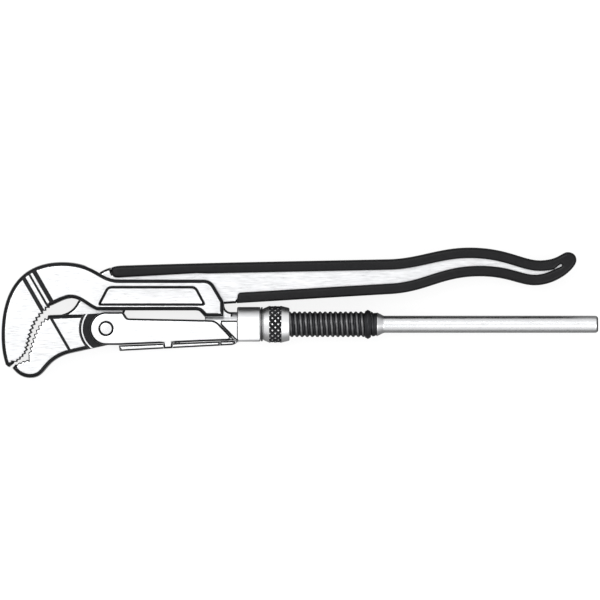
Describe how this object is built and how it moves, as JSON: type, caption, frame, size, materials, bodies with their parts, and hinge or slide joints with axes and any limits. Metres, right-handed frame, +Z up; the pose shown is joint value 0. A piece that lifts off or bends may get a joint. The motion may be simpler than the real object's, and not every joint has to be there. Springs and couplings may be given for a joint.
{
  "type": "pipe wrench",
  "caption": "Swedish-pattern pipe wrench with S-shaped toothed jaws at 45 degrees, a swinging I-beam lever and a knurled nut on a threaded leg that sets the opening.",
  "frame": {"origin": "centre of the wrench's bounding box at its lowest face: the wrench lies flat on Z = 0 on the side of its hook jaw", "axes": "+X along the threaded leg from the jaws to the end of the round handle, +Y in the plane of the tool from the threaded leg towards the lever, +Z up through the tool's thickness, along the pivot pin"},
  "size_m": [0.42, 0.0918, 0.026],
  "materials": {
    "forged_steel": "light satin forged steel, ground smooth on the flat sides",
    "shackle_steel": "fine-ground plate steel",
    "pin_steel": "turned and polished steel",
    "nut_steel": "turned steel with a dark diamond-knurled band",
    "spring_steel": "black oxide spring steel",
    "black_oxide": "black oxide on the screw thread",
    "black_enamel": "semi-gloss black enamel on the handle flanges"
  },
  "bodies": {
    "hook_frame": {"hook_leg": "forged_steel", "thread_stop_ring": "spring_steel"},
    "carriage": {"shackle_front_cheek": "shackle_steel", "shackle_rear_cheek": "shackle_steel", "shackle_base": "shackle_steel", "slide_collar": "shackle_steel", "pivot_pin": "pin_steel", "leaf_spring": "spring_steel", "spring_rivet": "pin_steel", "thrust_washer": "spring_steel", "nut_snap_ring": "spring_steel"},
    "nut": {"adjusting_nut": "nut_steel"},
    "lever": {"lever_leg": "forged_steel"}
  },
  "joints": [
    {"name": "carriage_slide", "type": "slide", "parent": "hook_frame", "child": "carriage", "axis": [1, 0, 0], "range_m": [0, 0.0504]},
    {"name": "nut_spin", "type": "hinge", "parent": "carriage", "child": "nut", "pos_m": [-0.0165, -0.0081, 0.013], "axis": [1, 0, 0], "range_deg": [0, 5040]},
    {"name": "lever_swing", "type": "hinge", "parent": "carriage", "child": "lever", "pos_m": [-0.1362, -0.0111, 0.013], "axis": [0, 0, 1], "range_deg": [0, 18]}
  ],
  "couplings": [
    {"joint": "nut_spin", "follows": "carriage_slide", "rad_per_m": 1745.3}
  ]
}
